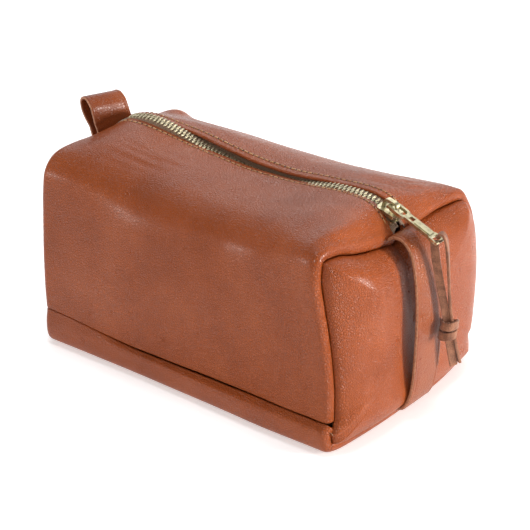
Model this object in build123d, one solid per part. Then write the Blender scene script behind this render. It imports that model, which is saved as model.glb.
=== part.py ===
from build123d import *
import math
import os

# Leather shaving kit bag. Millimetres. +X runs along the zip to the end with the grab strap,
# -Y is the front, +Z is up. The origin is the centre of the base, on the surface it stands on.

# Driving dimensions of the bag
BAG_LENGTH = 230.0          # between the two end seams
BAG_WIDTH = 150.0           # front to back at the base
TOP_HEIGHT = 135.6          # top of the leather beside the zip
LEATHER = 2.0               # thickness of the panels
BASE_WRAP = 25.0            # how far the base panel turns up the front and the back
BASE_CORNER = 13.0          # radius where the base turns up
WALL_BELLY = 1.8            # how far the front and back bulge between base and shoulder
SHOULDER_RADIUS = 24.0      # roll from the wall over to the top
SHOULDER_HEIGHT = 130.8     # top of the roll, outside
END_BULGE_RIGHT = 8.0       # how far the right end stands out at the bottom
END_BULGE_LEFT = 6.0        # the same at the left end
END_BULGE_TOP = 1.5         # what is left of the bulge at the top
CLEARANCE = 0.4             # between a moving flap and the fixed leather

# Flaps: the shoulder and the top of the front and rear panels, which fold up and outward
FLAP_PIVOT_HEIGHT = 97.0
MOUTH_HALF_WIDTH = 7.0      # leather edge to the centre of the zip

# Zip
CHAIN_HEIGHT = 132.6        # centre of the teeth along the level part of the zip
CHAIN_DROP = 15.0           # slope of the zip where it runs down to the right end, in degrees
DROP_RADIUS = 50.0          # bend from the level part into the slope
DROP_START = 81.5           # where the bend begins
TAPE_THICKNESS = 0.8
TAPE_WIDTH = 13.0
TAPE_BEAD = 1.6             # tape edge to the centre of the zip
TAPE_PLAY = 0.02            # between the tape and the metal, on each face
TOOTH_PITCH = 3.0
TOOTH_LENGTH = 1.3          # along the zip
TOOTH_REACH = 0.8           # past the centre of the zip
TOOTH_GRIP = 4.2            # from the centre back over the tape
TOOTH_HEIGHT = 2.6
FIRST_TOOTH = -99.0
LAST_TOOTH = 104.0
TOP_STOP_X = 108.6
TOP_STOP_INNER = 1.1        # clear of the slider's wedge
BOTTOM_STOP_X = -103.0
STITCH_PITCH = 4.2
STITCH_LENGTH = 3.2
STITCH_THICKNESS = 0.5
STITCH_INSET = 4.0          # from the leather edge

# Slider and puller. The slider's own frame has its origin on the chain, halfway along it.
SLIDER_X = 103.8            # where it rests when the bag is closed
SLIDER_LENGTH = 14.0
SLIDER_TAIL_HALF = 5.4
SLIDER_NOSE_HALF = 6.0
SLIDER_PLATE = 1.2
CHANNEL_HALF_HEIGHT = 1.7
FLANGE_THICKNESS = 0.9
TAPE_SLOT_HALF = 0.8
PIVOT_FORWARD = 0.5         # bar of the puller, in the slider's frame
PIVOT_UP = 6.3
PULLER_ANGLE = 22.5         # below the horizontal, as it hangs over the end
PULLER_THICKNESS = 2.0
PIN_RADIUS = 1.05           # bar of the puller under the bridge
EYE_CENTRE = 34.8           # pivot to the eye that holds the lace
END_BAR = 37.5              # pivot to the round bar past the eye, which the lace swings on
END_BAR_RADIUS = 1.0
BRIDGE_HALF_WIDTH = 1.6
BRIDGE_THICKNESS = 1.4
BRIDGE_LEGS = (-4.6, 4.2)   # tops of its legs, along the zip from the pivot
BRIDGE_SPREAD = 0.8         # how far each leg slants outward
BRIDGE_BEND = 2.6
BRIDGE_GAP = 0.45           # over the puller's bar
WEDGE_LENGTH = 3.4          # divider between the two rows of teeth
WEDGE_INSET = 0.5           # from the slider's nose
SHOULDER_FROM_NOSE = 5.0    # where the slider starts to widen
FLANGE_INSET = 0.95         # from the tail's side to the flanges

# Puller, along its length from the pivot: centres, lengths and widths
RING_CENTRE = 6.0
RING_SIZE = (14.4, 9.0, 4.2)            # length, width, corner radius
RING_HOLE_SIZE = (10.2, 5.6, 2.4)
SHANK_CENTRE = 21.5
SHANK_SIZE = (25.0, 6.4)
END_CENTRE = 34.1
END_SIZE = (7.0, 8.2, 2.0)
SLOT_CENTRE = 15.9
SLOT_SIZE = (3.4, 3.2)
EYE_SIZE = (3.8, 6.2, 0.6)
PAD_CENTRE = 25.0
PAD_SIZE = (12.4, 4.4)
PAD_RISE = 0.5
BAR_LENGTH = 8.6
END_BAR_LENGTH = 8.2
TOP_STOP_LENGTH = 3.6
BOTTOM_STOP_LENGTH = 4.0
BOTTOM_STOP_EXTRA = 0.6     # taller than a tooth

# Strap and loop
STRAP_WIDTH = 27.0
STRAP_THICKNESS = 2.6
STRAP_ROUTE = [(118.9, 115.4), (131.0, 114.6), (135.4, 72.0), (134.2, 24.0), (125.4, 3.0)]
STRAP_BENDS = [9, 120, 40]
LOOP_WIDTH = 28.0
LOOP_THICKNESS = 2.2
LOOP_ROUTE = [(-114.4, 137.9), (-114.2, 154.2), (-125.0, 155.2), (-118.8, 127.0)]
LOOP_BENDS = [4.6, 4.6]
DIP_FLOOR = 117.0           # low part of the right end's upper edge, where the strap is sewn in
DIP_HEIGHT = 30.0
DIP_CORNER = 5.0

# Lace
LACE_DIAMETER = 2.2
KNOT_SIZE = (10.5, 14.0, 12.0)
KNOT_ROUND = 3.0
KNOT_CENTRE = (143.6, 11.2, 57.0)
LACE_LEFT_ROUTE = [
    (138.1, -1.5, 120.7),
    (138.4, -1.0, 111.7),
    (140.2, 2.0, 95.7),
    (141.6, 5.2, 79.7),
    (142.7, 8.6, 66.7),
    (143.1, 10.6, 55.7),
    (143.4, 13.0, 43.7),
    (144.0, 16.8, 30.7),
]
LACE_RIGHT_ROUTE = [
    (138.5, 1.5, 121.9),
    (139.7, 1.6, 125.3),
    (143.8, 2.0, 123.9),
    (145.0, 3.4, 110.7),
    (144.7, 5.9, 94.7),
    (144.2, 8.5, 79.7),
    (144.1, 10.9, 67.7),
    (144.6, 13.0, 56.7),
    (145.2, 15.9, 44.7),
    (145.8, 19.8, 32.7),
]

# Values worked out from the ones above
HALF_LENGTH = BAG_LENGTH / 2
HALF_WIDTH = BAG_WIDTH / 2
MID = LEATHER / 2                               # from a panel's face to its middle
FLAP_HALF_LENGTH = HALF_LENGTH - LEATHER - 0.5  # the flaps move between the end panels
PAST = 40.0                                     # how far a cutting shape runs past the bag
REACH_Y = 80.0                                  # half width of the end panel blanks
DROP = math.radians(CHAIN_DROP)
SLOPE_START = DROP_START + DROP_RADIUS * math.sin(DROP)


def clipped(section, low, high):
    """Keep the part of a section between two heights."""
    window = Pos(0, (low + high) / 2) * Rectangle(4 * BAG_LENGTH, high - low)
    return section & window


def band(path, thickness):
    """A strip of even thickness along an open path, with round ends."""
    return make_face(offset(path, amount=thickness / 2, kind=Kind.ARC).edges())


def along_x(section, half_length):
    """Extrude a Y-Z section to both sides of the middle of the bag."""
    return extrude(Plane.YZ * section, amount=half_length, both=True)


def across_y(section, half_width, centre=0.0):
    """Extrude an X-Z section to both sides of a plane across the bag."""
    return Pos(0, centre, 0) * extrude(Plane.XZ * section, amount=half_width, both=True)


def end_arc(side, stand_out, bulge):
    """Plan line of an end panel: side is 1 for the right end and -1 for the left."""
    x_edge = side * stand_out
    x_middle = side * (stand_out + bulge)
    return ThreePointArc((x_edge, -REACH_Y), (x_middle, 0), (x_edge, REACH_Y))


def end_blank(side, bulge):
    """A curved plate across the whole end, before it is cut to its outline."""
    faces = []
    for height, level_bulge in ((0.0, bulge), (TOP_HEIGHT + LEATHER, END_BULGE_TOP)):
        outer = end_arc(side, HALF_LENGTH, level_bulge)
        inner = end_arc(side, HALF_LENGTH - LEATHER, level_bulge)
        front = Line(outer @ 0, inner @ 0)
        back = Line(outer @ 1, inner @ 1)
        faces.append(Pos(0, 0, height) * make_face([outer, inner, front, back]))
    return loft(faces)


def end_outline():
    """Outline of an end panel in Y and Z: flat base, full sides, rolled shoulders."""
    side = HALF_WIDTH + LEATHER
    corners = [
        (-HALF_WIDTH, 0),
        (-side, 60),
        (-HALF_WIDTH, SHOULDER_HEIGHT),
        (0, TOP_HEIGHT + 1),
        (HALF_WIDTH, SHOULDER_HEIGHT),
        (side, 60),
        (HALF_WIDTH, 0),
    ]
    radii = [BASE_CORNER, 60, SHOULDER_RADIUS, 60, SHOULDER_RADIUS, 60, BASE_CORNER]
    return make_face(FilletPolyline(*corners, radius=radii, close=True))


def inside_space():
    """Everything between the inner faces of the two end panels."""
    faces = []
    for height, share in ((0.0, 1.0), (TOP_HEIGHT + LEATHER, 0.0)):
        right_bulge = END_BULGE_TOP + share * (END_BULGE_RIGHT - END_BULGE_TOP)
        left_bulge = END_BULGE_TOP + share * (END_BULGE_LEFT - END_BULGE_TOP)
        right = end_arc(1, HALF_LENGTH - LEATHER, right_bulge)
        left = end_arc(-1, HALF_LENGTH - LEATHER, left_bulge)
        front = Line(right @ 0, left @ 0)
        back = Line(right @ 1, left @ 1)
        faces.append(Pos(0, 0, height) * make_face([right, left, front, back]))
    return loft(faces)


def base_panel(space):
    """Base that turns up the front and the back."""
    y_mid = HALF_WIDTH - MID
    corners = [(-y_mid, BASE_WRAP + 10), (-y_mid, MID), (y_mid, MID), (y_mid, BASE_WRAP + 10)]
    path = FilletPolyline(*corners, radius=BASE_CORNER - MID)
    section = clipped(band(path, LEATHER), 0, BASE_WRAP)
    return along_x(section, HALF_LENGTH + PAST) & space


def side_wall(side, space):
    """Front (-1) or rear (1) panel from the base seam up to the fold."""
    y_mid = side * (HALF_WIDTH - MID)
    belly = (y_mid + side * WALL_BELLY, 60)
    path = ThreePointArc((y_mid, BASE_WRAP - 5), belly, (y_mid, FLAP_PIVOT_HEIGHT + 3))
    top = FLAP_PIVOT_HEIGHT - MID - CLEARANCE
    section = clipped(band(path, LEATHER), BASE_WRAP, top)
    return along_x(section, HALF_LENGTH + PAST) & space


def flap(side):
    """Shoulder and top of the front (-1) or rear (1) panel, from the fold to the zip."""
    y_mid = side * (HALF_WIDTH - MID)
    edge = side * (MOUTH_HALF_WIDTH + MID)
    corners = [
        (y_mid, FLAP_PIVOT_HEIGHT),
        (y_mid, SHOULDER_HEIGHT - MID),
        (edge, TOP_HEIGHT - MID),
    ]
    path = FilletPolyline(*corners, radius=SHOULDER_RADIUS)
    return along_x(band(path, LEATHER), FLAP_HALF_LENGTH)


def left_end_panel():
    prism = extrude(Plane.YZ * end_outline(), amount=HALF_LENGTH + PAST, both=True)
    return end_blank(-1, END_BULGE_LEFT) & prism


def right_end_panel():
    """The right end dips under the zip, where the strap is sewn in."""
    dip = RectangleRounded(STRAP_WIDTH + 2, DIP_HEIGHT, DIP_CORNER)
    dip = Pos(0, DIP_FLOOR + DIP_HEIGHT / 2) * dip
    outline = end_outline() - dip
    prism = extrude(Plane.YZ * outline, amount=HALF_LENGTH + PAST, both=True)
    return end_blank(1, END_BULGE_RIGHT) & prism


def grab_strap():
    """Band that stands off the right end, sewn in at the top and the bottom."""
    path = FilletPolyline(*STRAP_ROUTE, radius=STRAP_BENDS)
    return across_y(band(path, STRAP_THICKNESS), STRAP_WIDTH / 2)


def loop_tab():
    """Folded loop that stands on the left end, open to the front and the back."""
    path = FilletPolyline(*LOOP_ROUTE, radius=LOOP_BENDS)
    return across_y(band(path, LOOP_THICKNESS), LOOP_WIDTH / 2)


def chain_height(x):
    """Height of the zip's middle: level, then a bend, then a straight slope to the right end."""
    if x <= DROP_START:
        return CHAIN_HEIGHT
    if x <= SLOPE_START:
        along = x - DROP_START
        return CHAIN_HEIGHT - DROP_RADIUS + math.sqrt(DROP_RADIUS ** 2 - along ** 2)
    bend_drop = DROP_RADIUS * (1 - math.cos(DROP))
    return CHAIN_HEIGHT - bend_drop - (x - SLOPE_START) * math.tan(DROP)


def chain_slope(x):
    """Slope of the zip in degrees, down towards +X."""
    turned = min(max(x - DROP_START, 0.0) / DROP_RADIUS, math.sin(DROP))
    return math.degrees(math.asin(turned))


def on_chain(x):
    """Place a piece on the zip's middle line, turned to its slope."""
    return Pos(x, 0, chain_height(x)) * Rot(0, chain_slope(x), 0)


def zip_tape(side):
    """Tape under the leather, level and then sloping down with the chain."""
    end = (FLAP_HALF_LENGTH, chain_height(FLAP_HALF_LENGTH))
    corner = (DROP_START + DROP_RADIUS * math.tan(DROP / 2), CHAIN_HEIGHT)
    start = (-FLAP_HALF_LENGTH, CHAIN_HEIGHT)
    path = FilletPolyline(start, corner, end, radius=DROP_RADIUS)
    middle = side * (TAPE_BEAD + TAPE_WIDTH / 2)
    return across_y(band(path, TAPE_THICKNESS), TAPE_WIDTH / 2, middle)


def zip_teeth(side):
    """One row of metal teeth, each clamped over the bead of its tape."""
    start = FIRST_TOOTH if side < 0 else FIRST_TOOTH + TOOTH_PITCH / 2
    count = int((LAST_TOOTH - start) / TOOTH_PITCH) + 1
    tooth = clamp(TOOTH_LENGTH, -TOOTH_REACH, TOOTH_HEIGHT, side)
    return Compound([on_chain(start + i * TOOTH_PITCH) * tooth for i in range(count)])


def clamp(length, inner, height, side):
    """Metal clamp over the bead of one tape, from inner out to the end of the grip."""
    y_centre = side * (inner + TOOTH_GRIP) / 2
    slot_centre = side * (TAPE_BEAD + TOOTH_GRIP) / 2
    block = Pos(0, y_centre, 0) * Box(length, TOOTH_GRIP - inner, height)
    slot_height = TAPE_THICKNESS + 2 * TAPE_PLAY
    slot = Pos(0, slot_centre, 0) * Box(length, TOOTH_GRIP - TAPE_BEAD, slot_height)
    return block - slot


def zip_top_stops():
    """Two stops at the closed end, one on each tape, inside the slider's mouth."""
    place = on_chain(TOP_STOP_X)
    stops = [clamp(TOP_STOP_LENGTH, TOP_STOP_INNER, TOOTH_HEIGHT, side) for side in (-1, 1)]
    return Compound([place * stop for stop in stops])


def zip_bottom_stop():
    """One block over both tapes at the left end of the chain."""
    height = TOOTH_HEIGHT + BOTTOM_STOP_EXTRA
    halves = [clamp(BOTTOM_STOP_LENGTH, 0.0, height, side) for side in (-1, 1)]
    return on_chain(BOTTOM_STOP_X) * (halves[0] + halves[1])


def topstitch(side):
    """Row of thread stitches that holds the leather to the zip tape."""
    run = HALF_WIDTH - MID - MOUTH_HALF_WIDTH - MID
    slope = (TOP_HEIGHT - SHOULDER_HEIGHT) / run
    y_line = MOUTH_HALF_WIDTH + STITCH_INSET
    z_line = TOP_HEIGHT - slope * (y_line - MOUTH_HALF_WIDTH - MID) + STITCH_THICKNESS / 2 + 0.03
    stitch = Box(STITCH_LENGTH, 0.8, STITCH_THICKNESS)
    stitch = Rot(side * -math.degrees(math.atan(slope)), 0, 0) * stitch
    count = int(2 * (FLAP_HALF_LENGTH - 8) / STITCH_PITCH)
    start = -STITCH_PITCH * (count - 1) / 2
    places = [Pos(start + i * STITCH_PITCH, side * y_line, z_line) for i in range(count)]
    return Compound([place * stitch for place in places])


def slider_plate_outline(inset=0.0):
    """Plan outline of the slider, wider at the nose than at the tail."""
    tail = -SLIDER_LENGTH / 2 + inset
    nose = SLIDER_LENGTH / 2 - inset
    half_tail = SLIDER_TAIL_HALF - inset
    half_nose = SLIDER_NOSE_HALF - inset
    shoulder = SLIDER_LENGTH / 2 - SHOULDER_FROM_NOSE - inset
    corners = [
        (tail, -half_tail),
        (shoulder, -half_tail),
        (nose, -half_nose),
        (nose, half_nose),
        (shoulder, half_tail),
        (tail, half_tail),
    ]
    rounds = [max(radius - inset, 0.1) for radius in (1.4, 3.0, 1.2, 1.2, 3.0, 1.4)]
    return make_face(FilletPolyline(*corners, radius=rounds, close=True))


def slider_body():
    """Two plates joined by the wedge, with flanges that leave a slot for each tape."""
    plate = extrude(slider_plate_outline(), amount=SLIDER_PLATE)
    rim = slider_plate_outline() - slider_plate_outline(FLANGE_THICKNESS)
    sides = Rectangle(PAST, 2 * SLIDER_NOSE_HALF) - Rectangle(PAST, 2 * (SLIDER_TAIL_HALF - FLANGE_INSET))
    flange = extrude(rim & sides, amount=CHANNEL_HALF_HEIGHT - TAPE_SLOT_HALF)
    top = Pos(0, 0, CHANNEL_HALF_HEIGHT) * plate
    bottom = Pos(0, 0, -CHANNEL_HALF_HEIGHT - SLIDER_PLATE) * plate
    upper_flange = Pos(0, 0, TAPE_SLOT_HALF) * flange
    lower_flange = Pos(0, 0, -CHANNEL_HALF_HEIGHT) * flange
    wedge_half = TAPE_BEAD / 2
    wedge_x = SLIDER_LENGTH / 2 - WEDGE_INSET
    wedge_corners = [(wedge_x - WEDGE_LENGTH, 0), (wedge_x, -wedge_half), (wedge_x, wedge_half)]
    wedge_outline = make_face(Polyline(*wedge_corners, close=True))
    wedge = extrude(wedge_outline, amount=CHANNEL_HALF_HEIGHT, both=True)
    body = top + bottom + upper_flange + lower_flange + wedge
    return on_chain(SLIDER_X) * body


def slider_bridge():
    """Arch over the slider, which holds the bar of the puller."""
    foot = CHANNEL_HALF_HEIGHT + SLIDER_PLATE
    crown = PIVOT_UP + PIN_RADIUS + BRIDGE_GAP + BRIDGE_THICKNESS / 2
    left, right = (PIVOT_FORWARD + leg for leg in BRIDGE_LEGS)
    below = foot - SLIDER_LENGTH / 2
    corners = [
        (left - BRIDGE_SPREAD, below),
        (left, crown),
        (right, crown),
        (right + BRIDGE_SPREAD, below),
    ]
    path = FilletPolyline(*corners, radius=BRIDGE_BEND)
    section = clipped(band(path, BRIDGE_THICKNESS), foot, crown + BRIDGE_THICKNESS)
    return on_chain(SLIDER_X) * across_y(section, BRIDGE_HALF_WIDTH)


def puller():
    """Flat pull with a ring round the bridge, a raised pad and an eye for the lace."""
    ring = Pos(RING_CENTRE, 0) * RectangleRounded(*RING_SIZE)
    shank = Pos(SHANK_CENTRE, 0) * Rectangle(*SHANK_SIZE)
    end = Pos(END_CENTRE, 0) * RectangleRounded(*END_SIZE)
    ring_hole = Pos(RING_CENTRE, 0) * RectangleRounded(*RING_HOLE_SIZE)
    slot = Pos(SLOT_CENTRE, 0) * Rectangle(*SLOT_SIZE)
    eye = Pos(EYE_CENTRE, 0) * RectangleRounded(*EYE_SIZE)
    flat = ring + shank + end - ring_hole - slot - eye
    flat = flat & (Pos(END_BAR / 2, 0) * Rectangle(END_BAR, PAST))
    body = extrude(flat, amount=PULLER_THICKNESS / 2, both=True)
    pad = Pos(PAD_CENTRE, 0) * Rectangle(*PAD_SIZE)
    pad = extrude(pad, amount=PULLER_THICKNESS / 2 + PAD_RISE, both=True)
    bar = Rot(90, 0, 0) * Cylinder(PIN_RADIUS, BAR_LENGTH)
    end_bar = Pos(END_BAR, 0, 0) * Rot(90, 0, 0) * Cylinder(END_BAR_RADIUS, END_BAR_LENGTH)
    return puller_place() * (body + pad + bar + end_bar)


def puller_place():
    """Where the puller hangs at rest, turned down over the end of the bag."""
    pivot = on_chain(SLIDER_X) * Pos(PIVOT_FORWARD, 0, PIVOT_UP)
    return Pos(pivot.position) * Rot(0, PULLER_ANGLE, 0)


def lace_strand(route):
    """One strand of the lace, as a round tube along runs joined by arcs."""
    radii = []
    for before, corner, after in zip(route, route[1:], route[2:]):
        run_in = Vector(*corner) - Vector(*before)
        run_out = Vector(*after) - Vector(*corner)
        shorter = min(run_in.length, run_out.length)
        half_turn = math.radians(run_in.get_angle(run_out)) / 2
        radii.append(0.45 * shorter / math.tan(half_turn))
    print("lace arc radii", [round(radius, 1) for radius in radii])
    path = FilletPolyline(*route, radius=radii)
    profile = Plane(path @ 0, z_dir=path % 0) * Circle(LACE_DIAMETER / 2)
    tube = sweep(profile, path=path)
    section_area = math.pi * LACE_DIAMETER ** 2 / 4
    by_volume = tube.volume / section_area
    print("lace length", round(path.length, 1), "volume over section", round(by_volume, 1))
    return tube


def lace_knot(strands):
    """Overhand knot that both strands run through."""
    width, depth, height = KNOT_SIZE
    knot = Box(width, depth, height)
    knot = fillet(knot.edges(), KNOT_ROUND)
    knot = Pos(*KNOT_CENTRE) * knot
    for strand in strands:
        knot = knot - strand
    return knot


def build():
    space = inside_space()
    strands = [lace_strand(LACE_LEFT_ROUTE), lace_strand(LACE_RIGHT_ROUTE)]
    return {
        "base_panel": base_panel(space),
        "front_wall": side_wall(-1, space),
        "rear_wall": side_wall(1, space),
        "front_flap": flap(-1),
        "rear_flap": flap(1),
        "left_end_panel": left_end_panel(),
        "right_end_panel": right_end_panel(),
        "grab_strap": grab_strap(),
        "loop_tab": loop_tab(),
        "zip_tape_front": zip_tape(-1),
        "zip_tape_rear": zip_tape(1),
        "zip_teeth_front": zip_teeth(-1),
        "zip_teeth_rear": zip_teeth(1),
        "zip_top_stops": zip_top_stops(),
        "zip_bottom_stop": zip_bottom_stop(),
        "topstitch_front": topstitch(-1),
        "topstitch_rear": topstitch(1),
        "slider_body": slider_body(),
        "slider_bridge": slider_bridge(),
        "puller": puller(),
        "lace_strand_left": strands[0],
        "lace_strand_right": strands[1],
        "lace_knot": lace_knot(strands),
    }


os.makedirs("parts", exist_ok=True)
for node, shape in build().items():
    export_step(shape, f"parts/{node}.step")
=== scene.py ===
import math

import bpy
import numpy as np
from mathutils import Matrix, Vector, noise


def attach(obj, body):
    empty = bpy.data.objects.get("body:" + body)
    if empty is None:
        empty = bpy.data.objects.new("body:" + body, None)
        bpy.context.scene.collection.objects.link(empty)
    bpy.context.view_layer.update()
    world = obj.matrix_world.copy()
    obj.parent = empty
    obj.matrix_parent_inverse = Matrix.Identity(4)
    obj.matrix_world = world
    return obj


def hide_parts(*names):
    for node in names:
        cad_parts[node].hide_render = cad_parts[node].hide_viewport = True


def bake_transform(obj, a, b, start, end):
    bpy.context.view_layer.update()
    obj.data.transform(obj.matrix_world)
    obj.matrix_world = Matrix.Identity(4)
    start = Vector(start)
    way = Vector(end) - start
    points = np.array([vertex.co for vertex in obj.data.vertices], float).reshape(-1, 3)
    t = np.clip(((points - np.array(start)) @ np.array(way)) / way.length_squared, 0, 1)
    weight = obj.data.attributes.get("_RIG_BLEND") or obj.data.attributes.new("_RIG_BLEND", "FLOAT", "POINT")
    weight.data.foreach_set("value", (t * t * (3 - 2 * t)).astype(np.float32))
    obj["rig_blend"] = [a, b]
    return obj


# Looks of the leather shaving kit bag. Metres, in the CAD frame: +X runs along the zip to the
# end with the grab strap, -Y is the front, +Z is up.

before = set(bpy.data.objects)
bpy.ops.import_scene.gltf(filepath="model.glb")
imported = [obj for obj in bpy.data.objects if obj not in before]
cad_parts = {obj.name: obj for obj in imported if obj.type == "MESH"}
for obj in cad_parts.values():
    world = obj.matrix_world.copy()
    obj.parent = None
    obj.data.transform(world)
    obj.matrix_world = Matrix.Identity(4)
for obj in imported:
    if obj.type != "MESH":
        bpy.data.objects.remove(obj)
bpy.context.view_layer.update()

# Driving sizes
HALF_LENGTH = 0.115         # middle of the bag to an end seam
LEATHER = 0.0018            # thickness of the panels
STRAP_LEATHER = 0.0026      # thickness of the grab strap
STRAP_HALF_WIDTH = 0.0135
LOOP_HALF_WIDTH = 0.014
ROLL = 0.0045               # radius of the leather where it turns into an end seam
ROLL_TURN = 120.0           # how far it turns before it meets the end panel, in degrees
BASE_ROLL = 0.0013          # radius at the seams of the base
TOOTH_PITCH = 0.003
FIRST_TOOTH = -0.1          # where the two rows start, and where they stop
LAST_TOOTH = 0.0985
STITCH_PITCH = 0.0042
STITCH_INSET = 0.0042       # from the leather edge
STITCH_MARGIN = 0.006       # from each end of the zip to the first and the last stitch
STITCH_SHARE = 0.88         # of the pitch that the thread shows; it is in its holes for the rest
STITCH_RISE = 0.00042       # how far the thread arches up between its holes
STITCH_SUNK = 0.00022       # how deep it lies at the holes
THREAD_RADIUS = 0.00042
# the hole sizes are of the discs of painted shade that stand in for the needle holes
HOLE_LENGTH = 0.00085       # half length of a needle hole along the row
HOLE_WIDTH = 0.00075
LACE_WIDTH = 0.005
LACE_THICKNESS = 0.0017
LOOP_THICKNESS = 0.0021
TAPE_THICKNESS = 0.0007
ZIP_ROLL = 0.0011           # radius of the leather edge that is turned under beside the zip
ZIP_ROLL_TURN = 150.0

# How the top lifts as the bag opens: nothing moves below the first height, all of it above the
# second, and the lift grows from each end of the zip over its own distance
FOLD_FROM = 0.086
FOLD_TO = 0.112
MOUTH_LEFT = -0.093
MOUTH_LEFT_EASE = 0.075
MOUTH_RIGHT = 0.108
MOUTH_RIGHT_EASE = 0.08

SEGMENTS = 240              # columns of the leather grids along the bag
PROFILE_STEPS = 150         # rows of the front and rear grids
BASE_STEPS = 120            # rows of the base grid, before its edges are rolled
ROLL_STEPS = 9
BASE_ROLL_STEPS = 6
TOOTH_SIDES = 14
STITCH_SIDES = 8
STITCH_STATIONS = 9
HOLE_SIDES = 10


# ---- Curves and grids

def smoothstep(low, high, value):
    t = np.clip((np.asarray(value, float) - low) / (high - low), 0, 1)
    return t * t * (3 - 2 * t)


def through(points, count):
    """Smooth curve through points (the first axis), evenly spaced in the point index."""
    points = np.asarray(points, float)
    padded = np.concatenate([[2 * points[0] - points[1]], points, [2 * points[-1] - points[-2]]])
    place = np.linspace(0, len(points) - 1, count)
    index = np.minimum(place.astype(int), len(points) - 2)
    f = (place - index).reshape((-1,) + (1,) * (points.ndim - 1))
    a, b, c, d = (padded[index + k] for k in range(4))
    cubic = -a + 3 * b - 3 * c + d
    square = 2 * a - 5 * b + 4 * c - d
    return 0.5 * (2 * b + (c - a) * f + square * f ** 2 + cubic * f ** 3)


def unit(vectors):
    return vectors / np.linalg.norm(vectors, axis=-1, keepdims=True)


def travel(points):
    """Distance from the first point to each point of a line."""
    steps = np.linalg.norm(np.diff(points, axis=0), axis=1)
    return np.concatenate([[0], np.cumsum(steps)])


def look_up(wanted, known, points):
    """The points at the wanted values of a coordinate that is known at each point."""
    return np.stack([np.interp(wanted, known, points[:, k]) for k in range(points.shape[1])], -1)


def respaced(points, count):
    """Points at even distances along a line of points."""
    travelled = travel(points)
    return look_up(np.linspace(0, travelled[-1], count), travelled, points)


def lofted(net, columns, rows):
    """Smooth grid through a coarse net of points, (columns, rows, 3)."""
    along = through(net, columns)
    return np.swapaxes(through(np.swapaxes(along, 0, 1), rows), 0, 1)


def evenly(points, count):
    """Points at even distances along the smooth curve through points."""
    return respaced(through(points, 12 * len(points)), count)


def at_x(points, x):
    """Y and Z, at each x, of a curve given by points that run in +X."""
    fine = through(points, 30 * len(points))
    return np.interp(x, fine[:, 0], fine[:, 1]), np.interp(x, fine[:, 0], fine[:, 2])


def normals_of(grid):
    """Unit normals of a grid of points, (columns, rows, 3)."""
    along = np.gradient(grid, axis=0)
    across = np.gradient(grid, axis=1)
    normal = np.cross(along, across)
    length = np.linalg.norm(normal, axis=2, keepdims=True)
    return normal / np.maximum(length, 1e-12)


def rolled(grid, axis, end, radius, turn, steps, outward):
    """The grid with one edge rolled over, away from the outward side, by turn degrees."""
    work = np.swapaxes(grid, 0, 1) if axis == 1 else grid
    normal = normals_of(grid) * outward
    normal = np.swapaxes(normal, 0, 1) if axis == 1 else normal
    edge, inner = (work[-1], work[-3]) if end > 0 else (work[0], work[2])
    edge_normal = normal[-1] if end > 0 else normal[0]
    heading = unit(edge - inner)
    rows = []
    for angle in np.radians(np.linspace(0, turn, steps + 1))[1:]:
        move = math.sin(angle) * heading - (1 - math.cos(angle)) * edge_normal
        rows.append(edge + radius * move)
    joined = np.concatenate([work, rows]) if end > 0 else np.concatenate([rows[::-1], work])
    return np.swapaxes(joined, 0, 1) if axis == 1 else joined


def grid_faces(columns, rows, flip=False, closed=False):
    """Quads of a grid whose vertices run row by row in each column."""
    faces = []
    for i in range(columns if closed else columns - 1):
        for j in range(rows - 1):
            a = i * rows + j
            b = ((i + 1) % columns) * rows + j
            quad = (a, b, b + 1, a + 1)
            faces.append(quad[::-1] if flip else quad)
    return faces


def add_object(name, data):
    obj = bpy.data.objects.new(name, data)
    bpy.context.scene.collection.objects.link(obj)
    return obj


def tube_quads(first, rings, sides):
    """Quads between the rings of a tube whose vertices start at first."""
    pairs = [(first + j * sides + k, first + j * sides + (k + 1) % sides)
             for j in range(rings - 1) for k in range(sides)]
    return [(a, b, b + sides, a + sides) for a, b in pairs]


def new_mesh(name, vertices, faces, materials):
    data = bpy.data.meshes.new(name)
    data.from_pydata([tuple(v) for v in vertices], [], faces)
    data.polygons.foreach_set("use_smooth", [True] * len(data.polygons))
    data.update()
    for material in materials:
        data.materials.append(material)
    return add_object(name, data)


def grid_mesh(name, grid, materials, flip=False):
    faces = grid_faces(grid.shape[0], grid.shape[1], flip)
    return new_mesh(name, grid.reshape(-1, 3), faces, materials)


def thicken(obj, thickness, inner, rim):
    """Give a sheet its thickness on the inside, with its own materials there and on the edge."""
    solid = obj.modifiers.new("thickness", "SOLIDIFY")
    solid.thickness = thickness
    solid.offset = -1
    solid.use_even_offset = False
    solid.material_offset = inner
    solid.material_offset_rim = rim


def subdivide(obj, levels=1):
    fine = obj.modifiers.new("fine", "SUBSURF")
    fine.levels = levels
    fine.render_levels = levels


# ---- Soft shape: creases, dents and slow unevenness of the leather

def uneven(points, size, seed):
    """Slow smooth noise from -1 to 1, for waves about size metres long."""
    flat = points.reshape(-1, 3) / size
    values = [noise.noise(Vector((x + seed, y + 2 * seed, z - seed))) for x, y, z in flat]
    return np.array(values).reshape(points.shape[:-1])


def dent(points, centre, direction, length, width, depth):
    """Depth of one soft crease or dent, long along direction."""
    heading = unit(np.array(direction, float))
    away = points - np.array(centre)
    along = away @ heading
    across = np.linalg.norm(away - along[..., None] * heading, axis=-1)
    return depth * np.exp(-(along / length) ** 2 - (across / width) ** 2)


def sculpt(grid, outward, dents, waves):
    """Move a grid in along its normals by the dents, and a little by slow noise."""
    inward = sum((dent(grid, *each) for each in dents), np.zeros(grid.shape[:2]))
    for size, height, seed in waves:
        inward = inward + height * uneven(grid, size, seed)
    return grid - normals_of(grid) * outward * inward[..., None]


# ---- Leather shell
# Each panel is lofted along X from three sections, points (y, z) from the base seam to the zip.

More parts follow.
